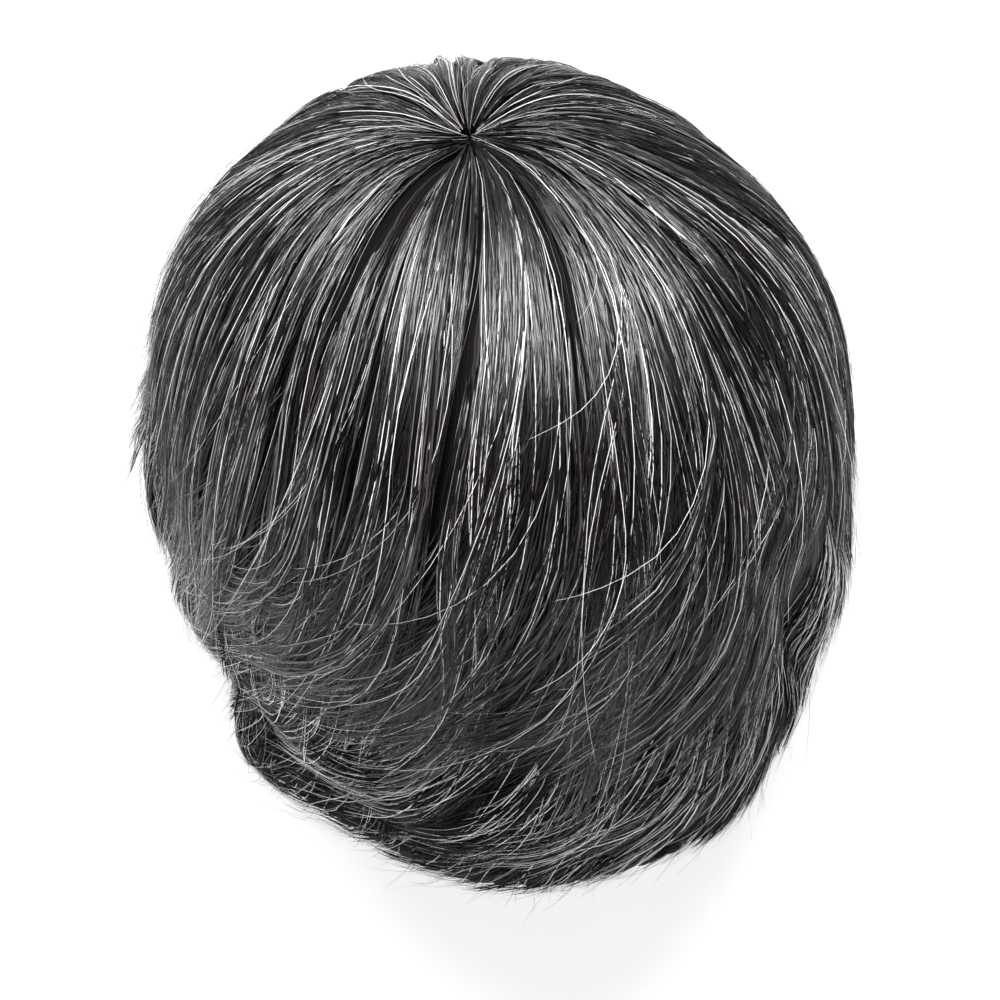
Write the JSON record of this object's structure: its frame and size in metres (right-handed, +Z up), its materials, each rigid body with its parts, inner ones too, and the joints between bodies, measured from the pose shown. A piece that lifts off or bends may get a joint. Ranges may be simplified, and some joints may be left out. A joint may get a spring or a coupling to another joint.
{
  "type": "toupee hairpiece",
  "caption": "Men's toupee: short salt-and-pepper hair swept forward from a crown whorl in layered locks, on a thin domed base that is open below for the head.",
  "frame": {"origin": "under the middle of the bounding box, on the surface that the hem rests on", "axes": "+Z up, the wearer faces -Y, the wearer's left is +X"},
  "size_m": [0.2098, 0.246, 0.138],
  "materials": {
    "base_mesh": "fine knotted mesh over skin-coloured backing, matt",
    "hair": "combed salt-and-pepper hair, brown-black with grey and white strands, silky sheen",
    "hair_under": "darker under-hair with fewer white strands, silky sheen"
  },
  "bodies": {
    "root": {"base_cap": "base_mesh", "whorl_rosette": "hair", "top_locks_front": "hair", "top_locks_left": "hair", "top_locks_back": "hair", "top_locks_right": "hair", "mid_locks_front": "hair", "mid_locks_left": "hair", "mid_locks_back": "hair", "mid_locks_right": "hair", "hem_locks_front": "hair_under", "hem_locks_left": "hair_under", "hem_locks_back": "hair_under", "hem_locks_right": "hair_under"}
  },
  "joints": []
}
